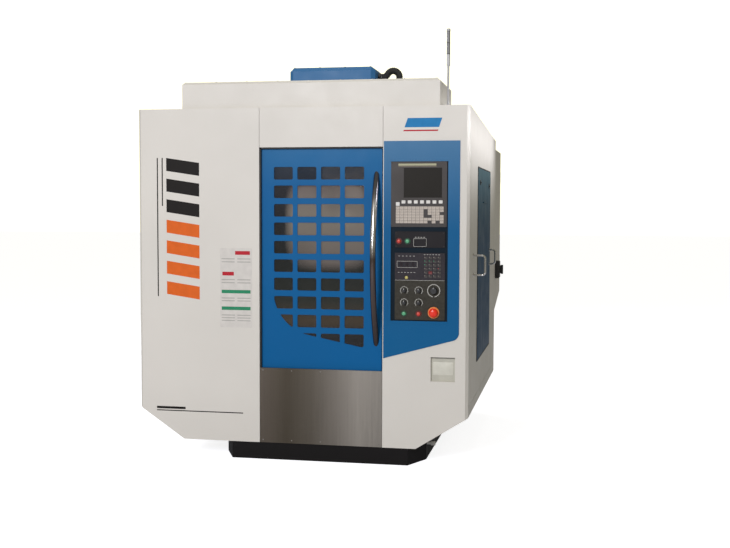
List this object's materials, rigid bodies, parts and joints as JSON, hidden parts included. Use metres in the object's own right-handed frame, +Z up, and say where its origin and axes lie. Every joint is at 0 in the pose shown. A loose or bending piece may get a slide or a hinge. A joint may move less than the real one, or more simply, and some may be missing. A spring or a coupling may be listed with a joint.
{
  "type": "cnc machining center",
  "caption": "Enclosed vertical machining centre: sliding windowed door, control console, T-slot table, spindle head and tool carousel.",
  "frame": {"origin": "floor point under the spindle axis", "axes": "+X to the operator's right, +Y from the door to the back, +Z up"},
  "size_m": [2.113, 2.699, 2.491],
  "materials": {
    "black_paint": "satin",
    "grey_casting": "painted",
    "ground_steel": "ground",
    "motor_black": "satin",
    "cover_steel": "brushed",
    "white_paint": "fine texture",
    "blue_paint": "fine texture",
    "stainless": "brushed",
    "smoked_pane": "smoked",
    "chrome": "polished",
    "conduit_rubber": "ribbed",
    "lamp_plastic": "gloss",
    "console_paint": "satin",
    "screen_glass": "matte glass",
    "key_rubber": "matte",
    "red_plastic": "gloss",
    "green_plastic": "gloss",
    "black_plastic": "matte"
  },
  "bodies": {
    "root": {"base_plinth": "black_paint", "bed_casting": "grey_casting", "column_casting": "grey_casting", "magazine_beam": "grey_casting", "guide_rails": "ground_steel", "axis_motors": "motor_black", "chamber_liner": "cover_steel", "left_front_panel": "white_paint", "door_header": "white_paint", "control_column": "white_paint", "roof_and_rear_panels": "white_paint", "roof_hood": "white_paint", "left_side_panel": "white_paint", "right_side_panel": "white_paint", "enclosure_frame": "white_paint", "electrical_cabinet": "white_paint", "control_fascia": "blue_paint", "motor_cover": "blue_paint", "side_covers": "blue_paint", "kick_plate": "stainless", "side_grips": "chrome", "cable_conduit": "conduit_rubber", "signal_lamp": "lamp_plastic", "console_box": "console_paint", "screen_bezel": "console_paint", "switch_panel": "console_paint", "operator_panel": "console_paint", "screen_pane": "screen_glass", "keypads": "key_rubber", "main_switch_box": "black_plastic"},
    "front_door": {"door_panel": "blue_paint", "door_pane": "smoked_pane", "door_handle": "chrome", "door_rollers": "ground_steel"},
    "saddle": {"saddle_casting": "grey_casting", "motor_x": "motor_black"},
    "table": {"work_table": "ground_steel"},
    "y_cover": {"cover_leaf_middle": "cover_steel"},
    "head": {"head_casting": "grey_casting", "spindle_motor": "motor_black"},
    "spindle": {"spindle_shaft": "ground_steel", "spindle_tool": "ground_steel"},
    "x_screw": {"screw_x": "ground_steel"},
    "y_screw": {"screw_y": "ground_steel"},
    "z_screw": {"screw_z": "ground_steel"},
    "magazine_carriage": {"magazine_carriage": "grey_casting"},
    "carousel": {"carousel": "ground_steel", "magazine_tools": "ground_steel"},
    "cabinet_door": {"cabinet_door": "white_paint"},
    "main_switch": {"main_switch_handle": "black_plastic"},
    "power_off": {"power_off_button": "red_plastic"},
    "power_on": {"power_on_button": "green_plastic"},
    "cycle_start": {"cycle_start_button": "green_plastic"},
    "feed_hold": {"feed_hold_button": "red_plastic"},
    "emergency_stop": {"emergency_stop": "red_plastic"},
    "mode": {"mode_knob": "black_plastic"},
    "feed": {"feed_knob": "black_plastic"},
    "rapid": {"rapid_knob": "black_plastic"},
    "speed": {"speed_knob": "black_plastic"},
    "override": {"override_dial": "black_plastic"}
  },
  "joints": [
    {"name": "door_slide", "type": "slide", "parent": "root", "child": "front_door", "axis": [-1, 0, 0], "range_m": [0, 0.62]},
    {"name": "y_axis", "type": "slide", "parent": "root", "child": "saddle", "axis": [0, 1, 0], "range_m": [-0.2, 0.2]},
    {"name": "x_axis", "type": "slide", "parent": "saddle", "child": "table", "axis": [1, 0, 0], "range_m": [-0.25, 0.25]},
    {"name": "z_axis", "type": "slide", "parent": "root", "child": "head", "axis": [0, 0, 1], "range_m": [-0.4, 0]},
    {"name": "spindle_turn", "type": "hinge", "parent": "head", "child": "spindle", "pos_m": [0, 0, 1.35], "axis": [0, 0, 1], "continuous": true},
    {"name": "y_cover_slide", "type": "slide", "parent": "root", "child": "y_cover", "axis": [0, 1, 0], "range_m": [-0.101, 0.101]},
    {"name": "x_screw_turn", "type": "hinge", "parent": "saddle", "child": "x_screw", "pos_m": [0, 0, 0.642], "axis": [1, 0, 0], "continuous": true},
    {"name": "y_screw_turn", "type": "hinge", "parent": "root", "child": "y_screw", "pos_m": [0, 0, 0.546], "axis": [0, 1, 0], "continuous": true},
    {"name": "z_screw_turn", "type": "hinge", "parent": "root", "child": "z_screw", "pos_m": [0, 0.454, 1.2], "axis": [0, 0, 1], "continuous": true},
    {"name": "magazine_slide", "type": "slide", "parent": "root", "child": "magazine_carriage", "axis": [1, 0, 0], "range_m": [0, 0.36]},
    {"name": "carousel_turn", "type": "hinge", "parent": "magazine_carriage", "child": "carousel", "pos_m": [-0.56, 0, 1.3375], "axis": [0, 0, 1], "continuous": true},
    {"name": "cabinet_door_hinge", "type": "hinge", "parent": "root", "child": "cabinet_door", "pos_m": [0.841, 1.821, 1], "axis": [0, 0, -1], "range_deg": [0, 110]},
    {"name": "main_switch_turn", "type": "hinge", "parent": "root", "child": "main_switch", "pos_m": [0.884, 1.36, 1.022], "axis": [1, 0, 0], "range_deg": [0, 90]},
    {"name": "power_off_press", "type": "slide", "parent": "root", "child": "power_off", "axis": [0, 1, 0], "range_m": [0, 0.003], "stiffness_N_per_m": 800},
    {"name": "power_on_press", "type": "slide", "parent": "root", "child": "power_on", "axis": [0, 1, 0], "range_m": [0, 0.003], "stiffness_N_per_m": 800},
    {"name": "cycle_start_press", "type": "slide", "parent": "root", "child": "cycle_start", "axis": [0, 1, 0], "range_m": [0, 0.003], "stiffness_N_per_m": 800},
    {"name": "feed_hold_press", "type": "slide", "parent": "root", "child": "feed_hold", "axis": [0, 1, 0], "range_m": [0, 0.003], "stiffness_N_per_m": 800},
    {"name": "emergency_stop_press", "type": "slide", "parent": "root", "child": "emergency_stop", "axis": [0, 1, 0], "range_m": [0, 0.006], "stiffness_N_per_m": 1500},
    {"name": "mode_turn", "type": "hinge", "parent": "root", "child": "mode", "pos_m": [0.491, -0.77, 1.008], "axis": [0, 1, 0], "range_deg": [-60, 60]},
    {"name": "feed_turn", "type": "hinge", "parent": "root", "child": "feed", "pos_m": [0.5745, -0.77, 1.008], "axis": [0, 1, 0], "range_deg": [-150, 150]},
    {"name": "rapid_turn", "type": "hinge", "parent": "root", "child": "rapid", "pos_m": [0.491, -0.77, 0.939], "axis": [0, 1, 0], "range_deg": [-60, 60]},
    {"name": "speed_turn", "type": "hinge", "parent": "root", "child": "speed", "pos_m": [0.5745, -0.77, 0.939], "axis": [0, 1, 0], "range_deg": [-120, 120]},
    {"name": "override_turn", "type": "hinge", "parent": "root", "child": "override", "pos_m": [0.66, -0.77, 1.009], "axis": [0, 1, 0], "range_deg": [-150, 150]}
  ],
  "couplings": [
    {"joint": "y_cover_slide", "follows": "y_axis", "ratio": 0.5},
    {"joint": "x_screw_turn", "follows": "x_axis", "rad_per_m": 628.32},
    {"joint": "y_screw_turn", "follows": "y_axis", "rad_per_m": 628.32},
    {"joint": "z_screw_turn", "follows": "z_axis", "rad_per_m": 628.32}
  ]
}
